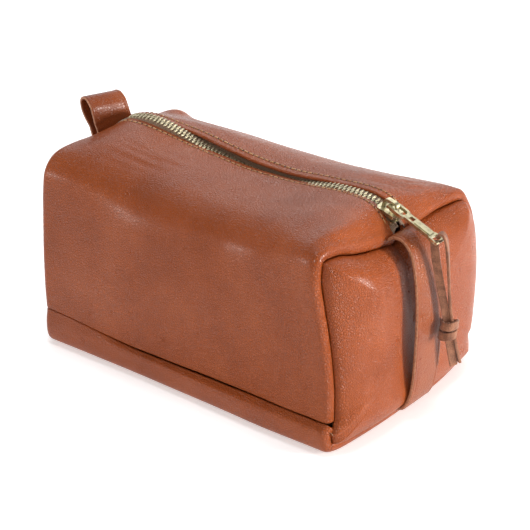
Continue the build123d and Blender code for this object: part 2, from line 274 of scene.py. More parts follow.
FRONT_LEFT = [
    (-0.0755, 0.0265), (-0.0756, 0.045), (-0.0752, 0.066), (-0.0744, 0.088), (-0.0732, 0.107),
    (-0.0705, 0.1225), (-0.0615, 0.132), (-0.045, 0.1352), (-0.025, 0.1358), (-0.004, 0.137),
]
FRONT_MIDDLE = [
    (-0.075, 0.0215), (-0.0768, 0.042), (-0.0775, 0.065), (-0.0768, 0.088), (-0.0742, 0.107),
    (-0.0675, 0.1205), (-0.055, 0.128), (-0.037, 0.131), (-0.02, 0.1305), (-0.004, 0.1285),
]
FRONT_RIGHT = [
    (-0.0765, 0.0225), (-0.0765, 0.04), (-0.078, 0.06), (-0.08, 0.081), (-0.0818, 0.1),
    (-0.083, 0.117), (-0.078, 0.1315), (-0.06, 0.1345), (-0.037, 0.131), (-0.004, 0.125),
]
FRONT_EDGE = [
    (-0.112, -0.003, 0.132), (-0.104, -0.0036, 0.1375), (-0.097, -0.004, 0.1404),
    (-0.084, -0.004, 0.1412), (-0.069, -0.0036, 0.1392), (-0.04, -0.0028, 0.1338),
    (-0.015, -0.0014, 0.131), (0.009, -0.0002, 0.13), (0.04, -0.0006, 0.1316),
    (0.07, -0.0022, 0.1352), (0.087, -0.0028, 0.1355), (0.097, -0.0034, 0.1335),
    (0.105, -0.004, 0.1275), (0.1105, -0.0044, 0.1195),
]
REAR_LEFT = [
    (0.076, 0.0265), (0.0765, 0.045), (0.0762, 0.066), (0.0748, 0.086), (0.0712, 0.102),
    (0.064, 0.114), (0.054, 0.121), (0.039, 0.1275), (0.0225, 0.1325), (0.005, 0.139),
]
REAR_MIDDLE = [
    (0.0755, 0.0215), (0.0772, 0.042), (0.0775, 0.065), (0.0755, 0.087), (0.071, 0.104),
    (0.063, 0.116), (0.051, 0.124), (0.0355, 0.13), (0.02, 0.1335), (0.005, 0.133),
]
REAR_RIGHT = [
    (0.079, 0.024), (0.0822, 0.043), (0.0845, 0.062), (0.085, 0.081), (0.0835, 0.099),
    (0.0795, 0.1105), (0.0705, 0.1205), (0.048, 0.1245), (0.025, 0.125), (0.005, 0.124),
]
REAR_EDGE = [
    (-0.112, 0.0036, 0.133), (-0.104, 0.0046, 0.139), (-0.092, 0.0052, 0.1427),
    (-0.075, 0.0052, 0.142), (-0.047, 0.0046, 0.1386), (-0.017, 0.0036, 0.1346),
    (0.022, 0.0034, 0.133), (0.056, 0.0044, 0.1355), (0.085, 0.0054, 0.1372),
    (0.098, 0.0058, 0.135), (0.106, 0.006, 0.129), (0.111, 0.0054, 0.12),
]
# X over which the middle section gives way to each of the others
LEFT_BLEND = (-0.035, -0.106)
RIGHT_BLEND = (0.03, 0.106)
NET_COLUMNS = 25
LIFT_FROM = 0.62            # share of the way up where a panel starts to follow its zip edge
# How far the start of each end roll stands from the middle, from the base seam to the zip
LEFT_REACH = [0.11, 0.1105, 0.1108, 0.1108, 0.1106, 0.11, 0.1092, 0.109, 0.1095, 0.11]
RIGHT_REACH = [0.113, 0.1128, 0.1122, 0.111, 0.1092, 0.1074, 0.1068, 0.1092, 0.1112, 0.111]


def panel_grid(left, middle, right, edge):
    """Grid of a front or rear panel, before its edges are rolled in."""
    count = len(middle)
    share = np.linspace(0, 1, NET_COLUMNS)
    net = np.zeros((len(share), count, 3))
    for k, t in enumerate(share):
        x = -np.array(LEFT_REACH) * (1 - t) + np.array(RIGHT_REACH) * t
        to_left = smoothstep(*LEFT_BLEND, x)[:, None]
        to_right = smoothstep(*RIGHT_BLEND, x)[:, None]
        rest = 1 - to_left - to_right
        yz = to_left * np.array(left) + rest * np.array(middle) + to_right * np.array(right)
        net[k] = np.column_stack([x, yz])
    grid = lofted(net, SEGMENTS, PROFILE_STEPS)
    edge_y, edge_z = at_x(edge, grid[:, -1, 0])
    lift = np.stack([np.zeros_like(edge_y), edge_y - grid[:, -1, 1], edge_z - grid[:, -1, 2]], 1)
    share = smoothstep(LIFT_FROM, 1.0, np.linspace(0, 1, PROFILE_STEPS))
    return grid + lift[:, None, :] * share[None, :, None]


FRONT_DENTS = [
    # parallel wrinkles on the top, near the left end
    ((-0.078, -0.03, 0.136), (1, -0.1, 0), 0.022, 0.0024, 0.0006),
    ((-0.07, -0.036, 0.135), (1, -0.05, 0), 0.026, 0.0026, 0.0006),
    ((-0.06, -0.044, 0.133), (1, 0.00, 0), 0.024, 0.0028, 0.0006),
    ((-0.072, -0.052, 0.131), (1, 0.06, 0), 0.022, 0.0026, 0.0004),
    ((-0.04, -0.034, 0.132), (1, 0.1, 0), 0.02, 0.0026, 0.0004),
    ((-0.052, -0.026, 0.133), (1, 0.04, 0), 0.02, 0.0024, 0.0004),
    # the hollow beside the zip, short of the slider
    ((0.082, -0.022, 0.131), (1, -0.35, 0), 0.016, 0.007, 0.003),
    ((0.06, -0.03, 0.131), (1, -0.2, 0), 0.03, 0.012, 0.002),
    # slow swells and hollows of the wall
    ((-0.06, -0.0765, 0.06), (1, 0, 0), 0.04, 0.026, -0.0022),
    ((0.06, -0.078, 0.07), (0, 0, 1), 0.045, 0.03, 0.0016),
    ((-0.07, -0.076, 0.075), (0.3, 0, 1), 0.04, 0.026, 0.0014),
    ((0.02, -0.076, 0.1), (1, 0, 0.3), 0.05, 0.014, 0.0012),
    # the rolls that stand up beside the right end seam, over the top and down the corner
    ((0.1035, -0.05, 0.135), (0, 1, 0), 0.026, 0.006, -0.0018),
    ((0.106, -0.083, 0.098), (0, 0, 1), 0.036, 0.006, -0.0012),
    ((0.092, -0.048, 0.134), (0.1, 1, 0), 0.022, 0.008, 0.0016),
    # pulls up from the lower right corner
    ((0.096, -0.076, 0.052), (-0.25, 0, 1), 0.03, 0.005, 0.0012),
    ((0.086, -0.076, 0.045), (-0.45, 0, 1), 0.024, 0.006, 0.0009),
]
REAR_DENTS = [
    ((0.085, 0.026, 0.134), (1, 0.3, 0), 0.018, 0.006, 0.0018),
    # the pointed corner at the left end
    ((-0.108, 0.056, 0.121), (0, 1, 0), 0.022, 0.007, -0.0032),
    ((0.096, 0.03, 0.131), (0.5, 1, 0), 0.016, 0.0026, 0.0009),
    ((0.09, 0.04, 0.131), (0.5, 1, 0), 0.016, 0.0026, 0.0008),
    ((-0.07, 0.035, 0.133), (1, 0.05, 0), 0.028, 0.003, 0.0008),
    ((0.000, 0.078, 0.075), (1, 0, 0.2), 0.07, 0.025, 0.002),
    ((-0.075, 0.077, 0.06), (0.4, 0, 1), 0.04, 0.02, 0.0014),
    ((0.07, 0.079, 0.06), (-0.3, 0, 1), 0.04, 0.018, 0.0014),
]
WAVES = [(0.06, 0.0012, 3.1), (0.024, 0.0003, 8.7)]


def panel(sections, edge, dents, side):
    """One front or rear panel: side is -1 for the front."""
    grid = panel_grid(*sections, edge)
    grid = sculpt(grid, -side, dents, WAVES)
    grid = rolled(grid, 0, 1, ROLL, ROLL_TURN, ROLL_STEPS, -side)
    grid = rolled(grid, 0, -1, ROLL, ROLL_TURN, ROLL_STEPS, -side)
    return rolled(grid, 1, -1, BASE_ROLL, ROLL_TURN, BASE_ROLL_STEPS, -side)


BASE_FLAT = [(0.058, 0.0), (0.03, 0.0), (0.0, 0.0), (-0.03, 0.0), (-0.058, 0.0)]
BASE_TURN = [(0.077, 0.0165), (0.0767, 0.008), (0.0742, 0.0026), (0.068, 0.0003)]
BASE_SPREAD = 0.045         # how much wider the base stands towards the right end
BASE_LEFT_REACH = 0.11
BASE_RIGHT_REACH = 0.1135
BASE_RIGHT_BOW = 0.005      # how much further the middle of the right end stands out
BASE_REAR_BACK = 0.0035     # and how far its rear corner stands back
SEAM_OVERLAP = 0.0003       # so that the rolls above and below the base seam touch


def base_grid_between(front, rear):
    """The base, from the front seam under the bag to the rear seam."""
    seam_gap = 2 * BASE_ROLL - SEAM_OVERLAP
    net = []
    for t in np.linspace(0, 1, 13):
        x = -BASE_LEFT_REACH * (1 - t) + BASE_RIGHT_REACH * t
        seams = []
        for grid in (front, rear):
            inside = grid[ROLL_STEPS:-ROLL_STEPS, BASE_ROLL_STEPS]
            y = np.interp(x, inside[:, 0], inside[:, 1])
            z = np.interp(x, inside[:, 0], inside[:, 2])
            seams.append((y, z - seam_gap))
        spread = 1 + BASE_SPREAD * float(smoothstep(-0.07, 0.1, x))
        turn = [(spread * y, z) for y, z in BASE_TURN]
        front_turn = [(-y, z) for y, z in turn]
        profile = [seams[0]] + front_turn + BASE_FLAT[::-1] + turn[::-1] + [seams[1]]
        near_right = float(smoothstep(0.4, 1.0, t))
        bow = BASE_RIGHT_BOW * near_right
        back = BASE_REAR_BACK * near_right
        net.append([
            (x + bow * (1 - min(abs(y) / 0.08, 1) ** 3) - back * smoothstep(0.038, 0.076, y), y, z)
            for y, z in profile
        ])
    grid = lofted(np.array(net), SEGMENTS, BASE_STEPS)
    grid = sculpt(grid, -1, BASE_DENTS, [(0.05, 0.0005, 5.2)])
    grid[:, :, 2] = np.maximum(grid[:, :, 2], 0.0)
    for end in (-1, 1):
        grid = rolled(grid, 0, end, ROLL, ROLL_TURN, ROLL_STEPS, -1)
    for end in (-1, 1):
        grid = rolled(grid, 1, end, BASE_ROLL, ROLL_TURN, BASE_ROLL_STEPS, -1)
    return grid


BASE_DENTS = [
    ((-0.02, -0.0765, 0.012), (1, 0, 0), 0.06, 0.005, 0.0006),
    ((0.08, -0.0765, 0.012), (1, 0, 0.1), 0.02, 0.004, 0.0006),
]


# ---- End panels
END_CENTRE_HEIGHT = 0.06
END_RINGS = 60
END_ROLL_HEIGHT = 0.01      # how far the panel stands out of its seam
END_ROLL_WIDTH = 0.02       # over this distance from the seam
GAP_STEPS = 14              # points of the outline where it crosses under the zip
SEAM_HOLD = 0.016           # how far in from its seam the panel still follows the seam
END_PAST_SEAM = 0.0003      # how far past the seam the panel's own plane is
UNEVEN_SIZE = 0.045
UNEVEN_HEIGHT = 0.001
CORNER_PASSES = 12          # smoothing of the outline's base corners
OUTLINE_PASSES = 260        # smoothing of the distance from the middle to the outline


def uncrossed(under):
    """The base part of an end outline, without the small loops that a tight corner leaves."""
    half = len(under) // 2
    under = under.copy()
    under[:half, 1] = np.minimum.accumulate(under[:half, 1][::-1])[::-1]
    under[:half, 2] = np.minimum.accumulate(under[:half, 2])
    under[half:, 1] = np.maximum.accumulate(under[half:, 1])
    under[half:, 2] = np.minimum.accumulate(under[half:, 2][::-1])[::-1]
    for _ in range(CORNER_PASSES):
        under[1:-1] = (under[:-2] + 2 * under[1:-1] + under[2:]) / 4
    return under


def end_loop(front, base, rear, end, dip):
    """Closed outline of an end panel, along the seams, and across under the zip."""
    pick = -1 if end > 0 else 0
    front_side = front[pick, BASE_ROLL_STEPS:][::-1]
    rear_side = rear[pick, BASE_ROLL_STEPS:]
    gap = []
    for t in np.linspace(0, 1, GAP_STEPS + 2)[1:-1]:
        point = rear_side[-1] * (1 - t) + front_side[0] * t
        gap.append(point - np.array([0, 0, dip * math.sin(math.pi * t)]))
    under = uncrossed(base[pick, BASE_ROLL_STEPS:-BASE_ROLL_STEPS])
    return np.concatenate([front_side, under, rear_side, gap])


def softened(values, passes):
    """Values round a closed outline, each averaged with its neighbours passes times."""
    for _ in range(passes):
        values = (np.roll(values, 1) + 2 * values + np.roll(values, -1)) / 4
    return values


def end_grid(loop, end, bulge, dents):
    """Rings from the seams in to the middle of the panel, standing out as they go."""
    centre = np.array([0.0, END_CENTRE_HEIGHT])
    share = 1 - np.linspace(0, 1, END_RINGS) ** 1.6
    to_centre = softened(np.linalg.norm(loop[:, 1:] - centre, axis=1), OUTLINE_PASSES)
    rings = []
    for s in share:
        yz = centre + s * (loop[:, 1:] - centre)
        away = (1 - s) * to_centre
        near_seam = np.exp(-away / SEAM_HOLD)
        middle_x = end * (HALF_LENGTH + END_PAST_SEAM)
        x = near_seam * loop[:, 0] + (1 - near_seam) * middle_x
        lip = np.sqrt(1 - (1 - np.minimum(away / END_ROLL_WIDTH, 1)) ** 2)
        reach = 0.012 + 0.016 * smoothstep(0.0, 0.06, yz[:, 1])
        swell = 1 - np.exp(-(away / reach) ** 2)
        height = smoothstep(0.15, 0.05, yz[:, 1])
        x = x + end * (END_ROLL_HEIGHT * lip + bulge * swell * (0.35 + 0.65 * height))
        rings.append(np.column_stack([x, yz]))
    grid = np.swapaxes(np.array(rings), 0, 1)
    inward = sum((dent(grid, *each) for each in dents), np.zeros(grid.shape[:2]))
    inward = inward + UNEVEN_HEIGHT * uneven(grid, UNEVEN_SIZE, 1.7) * smoothstep(1, 0.9, share)
    grid[:, :, 0] -= end * inward
    return grid


RIGHT_DENTS = [
    # the valley behind the strap
    ((0.121, 0.004, 0.086), (0, 0, 1), 0.042, 0.012, 0.0054),
    # the pillow to the left of it, and the flatter rear half
    ((0.121, -0.046, 0.094), (0, -0.25, 1), 0.024, 0.015, -0.0066),
    ((0.121, -0.034, 0.05), (0, 0.05, 1), 0.04, 0.018, -0.0018),
    ((0.121, 0.052, 0.07), (0, 0.1, 1), 0.05, 0.02, -0.0012),
    ((0.12, -0.052, 0.058), (0, 0.5, 1), 0.02, 0.006, 0.0012),
    ((0.12, 0.06, 0.022), (0, 1, 0.3), 0.02, 0.006, 0.001),
]
LEFT_DENTS = [
    ((-0.121, -0.02, 0.08), (0, 0.4, 1), 0.04, 0.012, 0.0022),
    ((-0.121, 0.03, 0.05), (0, -0.3, 1), 0.04, 0.014, 0.002),
    ((-0.121, 0.000, 0.112), (0, 0.1, 1), 0.016, 0.014, 0.0018),
    ((-0.121, -0.045, 0.03), (0, 1, 0.5), 0.02, 0.006, 0.0012),
]


def ring_mesh(name, grid, materials, flip):
    """Mesh of a ring grid: closed round the outline, and to one point in the middle."""
    columns, rows = grid.shape[:2]
    vertices = list(grid[:, :-1].reshape(-1, 3))
    faces = grid_faces(columns, rows - 1, flip, closed=True)
    vertices.append(grid[:, -1].mean(axis=0))
    pole = len(vertices) - 1
    for i in range(columns):
        a = i * (rows - 1) + rows - 2
        b = ((i + 1) % columns) * (rows - 1) + rows - 2
        faces.append((a, pole, b) if flip else (a, b, pole))
    return new_mesh(name, vertices, faces, materials)


# ---- Ribbons: strap, loop and lace

def band_section(crease=0.0, depth=0.0):
    """Cross-section of a leather band: (across, through), each from -1 to 1 of the half size.

    A crease is a line pressed along each edge of the outer face, and much shallower on the back.
    """
    edge = [(-1.0, 0.0), (-0.995, 0.45), (-0.97, 0.8), (-0.92, 1.0)]
    line = [(-0.7, 1.0)]
    if crease:
        line = [(-crease - 0.035, 1.0), (-crease, 1.0 - depth), (-crease + 0.035, 1.0)]
    top = edge + line + [(-0.35, 1.0), (0.0, 1.0)]
    face = top + [(-a, t) for a, t in top[:-1]][::-1]
    back = [(a, -t) for a, t in face[1:-1]][::-1]
    if crease:
        back = [(a, min(t, -0.8)) if abs(a) < 0.9 else (a, t) for a, t in back]
    return face + back


def ribbon(name, path, across, half_width, thickness, section, materials, edge_share=0.96):
    """A band swept along path. across gives the direction of its width at each point."""
    tangent = unit(np.gradient(path, axis=0))
    across = unit(across - np.sum(across * tangent, axis=1)[:, None] * tangent)
    outward = np.cross(across, tangent)
    grid = np.array([
        path + half_width * a * across + thickness / 2 * t * outward for a, t in section
    ])
    rows = len(path)
    faces = grid_faces(len(section), rows, closed=True)
    vertices = list(grid.reshape(-1, 3))
    faces.append([k * rows for k in range(len(section))])
    faces.append([k * rows + rows - 1 for k in range(len(section))][::-1])
    obj = new_mesh(name, vertices, faces, materials)
    if len(materials) > 1:
        count = len(section)
        for k in range(count):
            if min(abs(section[k][0]), abs(section[(k + 1) % count][0])) > edge_share:
                for j in range(rows - 1):
                    obj.data.polygons[k * (rows - 1) + j].material_index = 1
    return obj


# ---- Materials

def feed_socket(socket, value):
    """Give an input a value, or link it to an output."""
    if isinstance(value, bpy.types.NodeSocket):
        socket.id_data.links.new(value, socket)
    else:
        socket.default_value = value


def feed(made, **inputs):
    """Fill inputs of a shader node by name, with _ for each space."""
    for key, value in inputs.items():
        feed_socket(made.inputs[key.replace("_", " ")], value)


def new_material(name, color, roughness):
    made = bpy.data.materials.new(name)
    made.use_nodes = True
    shader = made.node_tree.nodes["Principled BSDF"]
    feed(shader, Base_Color=(*color, 1), Roughness=roughness)
    return made, shader


def node(tree, kind, **settings):
    """A shader node with its settings and its inputs."""
    made = tree.nodes.new(kind)
    for key, value in settings.items():
        if hasattr(made, key) and key not in made.inputs:
            setattr(made, key, value)
        else:
            feed(made, **{key: value})
    return made


def soft_material(name, color, roughness):
    """A material, and where its point is at rest, so that a texture stays on what bends."""
    made, shader = new_material(name, color, roughness)
    place = node(made.node_tree, "ShaderNodeAttribute", attribute_name="rest").outputs["Vector"]
    return made, shader, place


def ramp(factor, stops):
    """Colour ramp: stops are (place, colour)."""
    made = node(factor.id_data, "ShaderNodeValToRGB", Fac=factor)
    elements = made.color_ramp.elements
    elements[0].position, elements[0].color = stops[0][0], (*stops[0][1], 1)
    elements[1].position, elements[1].color = stops[-1][0], (*stops[-1][1], 1)
    for place, color in stops[1:-1]:
        elements.new(place).color = (*color, 1)
    return made.outputs["Color"]


def clouds_of(place, scale, detail, **more):
    """Noise from 0 to 1."""
    made = node(place.id_data, "ShaderNodeTexNoise", Vector=place, Scale=scale, Detail=detail, **more)
    return made.outputs["Fac"]


def slanted_bands(place, scale, distortion):
    made = node(place.id_data, "ShaderNodeTexWave", Vector=place, Scale=scale,
                Distortion=distortion, bands_direction="DIAGONAL")
    return made.outputs["Fac"]


def multiplied(share, first, second):
    """The first colour times the second, by a share from 0 to 1."""
    made = node(first.id_data, "ShaderNodeMix", data_type="RGBA", blend_type="MULTIPLY")
    for index, value in ((0, share), (6, first), (7, second)):
        feed_socket(made.inputs[index], value)
    return made.outputs[2]


def scaled(value, low, high):
    """A 0 to 1 value spread over a range."""
    made = node(value.id_data, "ShaderNodeMapRange", Value=value, To_Min=low, To_Max=high)
    return made.outputs["Result"]


def bump(height, distance, strength, normal=None):
    """Normals of a height field distance metres deep, on top of the bump before it."""
    made = node(height.id_data, "ShaderNodeBump", Height=height, Distance=distance,
                Strength=strength)
    if normal is not None:
        feed(made, Normal=normal)
    return made.outputs["Normal"]


def leather(name, dark, mid, light, roughness, grain_depth, coat):
    """Pebbled full grain leather: mottled colour, pebbles, pores and fine creases."""
    made, shader, place = soft_material(name, mid, roughness)
    clouds = clouds_of(place, 26.0, 4.0)
    blotches = clouds_of(place, 130.0, 5.0)
    speckle = clouds_of(place, 900.0, 3.0)
    base = ramp(clouds, [(0.34, dark), (0.5, mid), (0.68, light)])
    blotch = ramp(blotches, [(0.35, (0.84, 0.8, 0.78)), (0.6, (1, 1, 1))])
    base = multiplied(0.3, base, blotch)
    warped = node(place.id_data, "ShaderNodeVectorMath", operation="MULTIPLY_ADD")
    jitter = (0.0006, 0.0006, 0.0006)
    for index, value in enumerate((speckle.node.outputs["Color"], jitter, place)):
        feed_socket(warped.inputs[index], value)
    pebbles = node(place.id_data, "ShaderNodeTexVoronoi", feature="DISTANCE_TO_EDGE",
                   Vector=warped.outputs[0], Scale=640.0).outputs["Distance"]
    valley = ramp(pebbles, [(0.0, (0.7, 0.64, 0.6)), (0.16, (1, 1, 1))])
    base = multiplied(0.4, base, valley)
    patchy = scaled(blotches, roughness - 0.1, roughness + 0.12)
    rounded = ramp(pebbles, [(0.0, (0, 0, 0)), (0.22, (1, 1, 1))])
    streaks = clouds_of(place, 240.0, 6.0, Distortion=0.1)
    normal = bump(streaks, 0.0004, 0.3)
    normal = bump(rounded, grain_depth, 0.7, normal)
    normal = bump(speckle, 0.00008, 0.5, normal)
    feed(shader, Base_Color=base, Roughness=patchy, Normal=normal, Coat_Weight=coat,
         Coat_Roughness=0.28, Specular_IOR_Level=0.22)
    return made


def cut_leather(name, dark, light):
    """Raw or burnished edge of leather: layered fibres along the cut."""
    made, shader, place = soft_material(name, light, 0.6)
    fibres = clouds_of(place, 700.0, 5.0)
    patches = clouds_of(place, 90.0, 2.0)
    color = ramp(fibres, [(0.3, dark), (0.65, light)])
    worn = ramp(patches, [(0.4, (0.8, 0.75, 0.7)), (0.6, (1, 1, 1))])
    feed(shader, Base_Color=multiplied(0.6, color, worn), Normal=bump(fibres, 0.0003, 0.6))
    return made


def suede(name, dark, light, sheen):
    """Napped split leather: flesh side of the panels, and the lace."""
    made, shader, place = soft_material(name, light, 0.85)
    nap = clouds_of(place, 1500.0, 6.0)
    patches = clouds_of(place, 190.0, 4.0)
    color = ramp(patches, [(0.34, dark), (0.66, light)])
    fleck = ramp(nap, [(0.36, (0.55, 0.5, 0.45)), (0.62, (1.15, 1.12, 1.1))])
    normal = bump(patches, 0.0005, 0.5)
    normal = bump(nap, 0.0004, 0.8, normal)
    feed(shader, Base_Color=multiplied(0.8, color, fleck), Normal=normal,
         Sheen_Weight=sheen, Sheen_Roughness=0.5)
    return made


def brass(name, color, roughness, scratch):
    """Pale brass with soft tarnish and fine scratches."""
    made, shader = new_material(name, color, roughness)
    place = node(made.node_tree, "ShaderNodeTexCoord").outputs["Object"]
    tarnish = clouds_of(place, 420.0, 5.0)
    fine = clouds_of(place, 2600.0, 4.0)
    dull = tuple(0.62 * c for c in color)
    shade = ramp(tarnish, [(0.32, dull), (0.55, color)])
    patchy = scaled(fine, roughness - 0.08, roughness + 0.14)
    feed(shader, Base_Color=shade, Roughness=patchy, Metallic=1.0, Normal=bump(fine, scratch, 0.4))
    return made


def woven_tape(name, dark, light):
    """Herringbone cotton tape."""
    made, shader, place = soft_material(name, light, 0.9)
    twill = slanted_bands(place, 420.0, 1.2)
    fuzz = clouds_of(place, 1800.0, 3.0)
    color = ramp(twill, [(0.2, dark), (0.8, light)])
    feed(shader, Base_Color=multiplied(0.4, color, fuzz.node.outputs["Color"]),
         Normal=bump(twill, 0.0003, 0.8), Sheen_Weight=0.3)
    return made


def thread(name, dark, light):
    """Waxed thread with the twist of its plies."""
    made, shader, place = soft_material(name, light, 0.55)
    plies = slanted_bands(place, 900.0, 0.6)
    wear = clouds_of(place, 160.0, 3.0)
    color = ramp(wear, [(0.38, dark), (0.62, light)])
    strand = ramp(plies, [(0.1, (0.6, 0.55, 0.5)), (0.6, (1, 1, 1))])
    feed(shader, Base_Color=multiplied(0.7, color, strand), Normal=bump(plies, 0.0002, 0.7))
    return made


panel_leather = leather("panel_leather", (0.268, 0.052, 0.007), (0.302, 0.061, 0.01),
                        (0.334, 0.072, 0.014), 0.3, 0.0006, 0.13)
band_leather = leather("band_leather", (0.205, 0.044, 0.01), (0.24, 0.054, 0.013),
                       (0.28, 0.07, 0.019), 0.3, 0.0003, 0.1)
panel_edge = cut_leather("panel_edge", (0.25, 0.085, 0.04), (0.5, 0.23, 0.12))
band_edge = cut_leather("band_edge", (0.23, 0.08, 0.036), (0.52, 0.235, 0.125))
flesh_side = suede("flesh_side", (0.3, 0.145, 0.07), (0.46, 0.25, 0.135), 0.3)
lace_suede = suede("lace_suede", (0.17, 0.062, 0.029), (0.33, 0.14, 0.072), 0.15)
zip_brass = brass("zip_brass", (0.56, 0.49, 0.33), 0.4, 0.00003)
slider_brass = brass("slider_brass", (0.62, 0.56, 0.36), 0.33, 0.00002)
zip_tape = woven_tape("zip_tape", (0.16, 0.085, 0.045), (0.34, 0.2, 0.115))
stitch_thread = thread("stitch_thread", (0.42, 0.2, 0.08), (0.7, 0.42, 0.2))
# painted shade: near-black matte discs stand in for the shade inside the needle holes
hole_shade = new_material("hole_shade", (0.02, 0.006, 0.004), 0.9)[0]


def as_piece(obj, stands_for=(), body=None):
    """Make an object a piece of the part, and store where its vertices are at rest."""
    places = np.array([v.co for v in obj.data.vertices], np.float32)
    attribute = obj.data.attributes.new("rest", "FLOAT_VECTOR", "POINT")
    attribute.data.foreach_set("vector", places.ravel())
    if stands_for:
        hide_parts(*stands_for)
    if body:
        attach(obj, body)


def bend_with_fold(obj, side, xs=None):
    """Leather or zip that lifts with its top as the bag opens, but stays put at both ends.

    xs gives each vertex another x to go by, so that a tooth or a stitch moves as one.
    """
    body = "front_top" if side < 0 else "rear_top"
    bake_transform(obj, "bag", body, start=(0, 0, FOLD_FROM), end=(0, 0, FOLD_TO))
    weights = obj.data.attributes["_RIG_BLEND"].data
    places = np.array([v.co for v in obj.data.vertices])
    x = places[:, 0] if xs is None else xs
    values = np.zeros(len(places), np.float32)
    weights.foreach_get("value", values)
    opening = smoothstep(MOUTH_LEFT, MOUTH_LEFT + MOUTH_LEFT_EASE, x)
    opening = opening * smoothstep(MOUTH_RIGHT, MOUTH_RIGHT - MOUTH_RIGHT_EASE, x)
    weights.foreach_set("value", (values * opening).astype(np.float32))


def end_panel(name, end, dip, bulge, dents):
    """An end panel: dip is how far its seam sags under the zip, bulge how far it stands out."""
    grid = end_grid(end_loop(front_grid, base_grid, rear_grid, end, dip), end, bulge, dents)
    return ring_mesh(name, grid, panel_materials, end < 0)


# Build the shell
front_grid = panel((FRONT_LEFT, FRONT_MIDDLE, FRONT_RIGHT), FRONT_EDGE, FRONT_DENTS, -1)
rear_grid = panel((REAR_LEFT, REAR_MIDDLE, REAR_RIGHT), REAR_EDGE, REAR_DENTS, 1)
base_grid = base_grid_between(front_grid, rear_grid)
panel_materials = (panel_leather, flesh_side, panel_edge)

turned = [rolled(grid, 1, 1, ZIP_ROLL, ZIP_ROLL_TURN, BASE_ROLL_STEPS, outward)
          for grid, outward in ((front_grid, 1), (rear_grid, -1))]
front_panel = grid_mesh("front_panel", turned[0], panel_materials)
rear_panel = grid_mesh("rear_panel", turned[1], panel_materials, flip=True)
base_shell = grid_mesh("base_shell", base_grid, panel_materials, flip=True)
right_end = end_panel("right_end", 1, 0.004, 0.0022, RIGHT_DENTS)
left_end = end_panel("left_end", -1, 0.002, -0.0015, LEFT_DENTS)
as_piece(front_panel, ("front_wall", "front_flap"))
as_piece(rear_panel, ("rear_wall", "rear_flap"))
as_piece(base_shell, ("base_panel",), "bag")
as_piece(right_end, ("right_end_panel",), "bag")
as_piece(left_end, ("left_end_panel",), "bag")
bend_with_fold(front_panel, -1)
bend_with_fold(rear_panel, 1)
for obj in (front_panel, rear_panel, base_shell, right_end, left_end):
    thicken(obj, LEATHER, 1, 2)


# ---- Strap and loop
STRAP_PATH = [
    (0.1125, 0.1175), (0.1165, 0.12), (0.1225, 0.1195), (0.129, 0.113), (0.1325, 0.1),
    (0.1345, 0.083), (0.135, 0.065), (0.1346, 0.045), (0.1336, 0.028), (0.1312, 0.015),
    (0.1268, 0.007), (0.1205, 0.005),
]
LOOP_PATH = [
    (-0.112, 0.131), (-0.1128, 0.137), (-0.1138, 0.144), (-0.116, 0.15), (-0.1205, 0.1535),
    (-0.125, 0.1515), (-0.1262, 0.1455), (-0.124, 0.138), (-0.1205, 0.13), (-0.118, 0.124),
]
LOOP_TURN = math.radians(14)
LOOP_LEAN = 0.16            # how far it leans to the front as it rises
LOOP_DROOP = 0.07           # slope of its top, down to the rear


def grab_strap():
    path = evenly([(x, 0.0008, z) for x, z in STRAP_PATH], 140)
    across = np.tile([0.0, -1.0, 0.0], (len(path), 1))
    section = band_section(0.8, 0.3)
    strap = ribbon("grab_strap_band", path, across, STRAP_HALF_WIDTH, STRAP_LEATHER, section,
                   (band_leather, band_edge))
    as_piece(strap, ("grab_strap",), "bag")
    subdivide(strap)


def hanging_loop():
    path = evenly([(x, 0.0, z) for x, z in LOOP_PATH], 110)
    height = path[:, 2] - 0.131
    path[:, 0] -= 0.02 * height
    path[:, 2] -= 0.0028 * smoothstep(0.0, 0.012, height)
    turn = Matrix.Rotation(-LOOP_TURN, 3, "Z")
    centre = np.array([-0.1165, -0.003, 0.0])
    turned = (path - centre * [1, 0, 0]) @ np.array(turn).T + centre
    lean = smoothstep(0.002, 0.022, height)
    turned[:, 1] -= LOOP_LEAN * np.maximum(height, 0)
    across = np.tile(np.array(turn) @ np.array([0.0, 1.0, 0.0]), (len(path), 1))
    across[:, 2] -= LOOP_DROOP * lean
    section = band_section(0.78, 0.25)
    loop = ribbon("hanging_loop_band", turned, across, LOOP_HALF_WIDTH, LOOP_THICKNESS, section,
                  (band_leather, band_edge))
    as_piece(loop, ("loop_tab",), "bag")
    subdivide(loop)


# ---- Zip
CHAIN = [
    (-0.112, 0.0, 0.131), (-0.105, 0.0, 0.1365), (-0.097, 0.0, 0.14), (-0.086, 0.0, 0.142),
    (-0.073, 0.0, 0.1415), (-0.058, 0.0, 0.1385), (-0.042, 0.0, 0.1345), (-0.026, 0.0, 0.1312),
    (-0.01, 0.0, 0.1285), (0.01, 0.0, 0.127), (0.03, 0.0, 0.128), (0.05, 0.0, 0.1318),
    (0.066, 0.0, 0.1345), (0.082, 0.0, 0.135), (0.093, 0.0, 0.1335), (0.1005, 0.0, 0.13),
    (0.107, 0.0, 0.1265), (0.1125, 0.0, 0.1215),
]
TOOTH_SHAPE = [
    # from the head of a tooth, past the middle of the zip, to the end of its grip: across,
    # half length along the zip, half height
    (-0.00085, 0.00022, 0.0005), (-0.0006, 0.0005, 0.00088), (-0.0001, 0.00058, 0.00105),
    (0.0005, 0.00046, 0.00112), (0.0011, 0.00062, 0.00126), (0.002, 0.0007, 0.0013),
    (0.0033, 0.00072, 0.00128), (0.00395, 0.00064, 0.00112), (0.00425, 0.0004, 0.0007),
]


def chain_frames(x):
    """Points on the middle of the zip at each x, with its directions along and up."""
    fine = evenly(CHAIN, 600)
    tangent = unit(np.gradient(fine, axis=0))
    place = look_up(x, fine[:, 0], fine)
    along = unit(look_up(x, fine[:, 0], tangent))
    up = np.cross(along, np.array([0.0, 1.0, 0.0]))
    return place, along, up


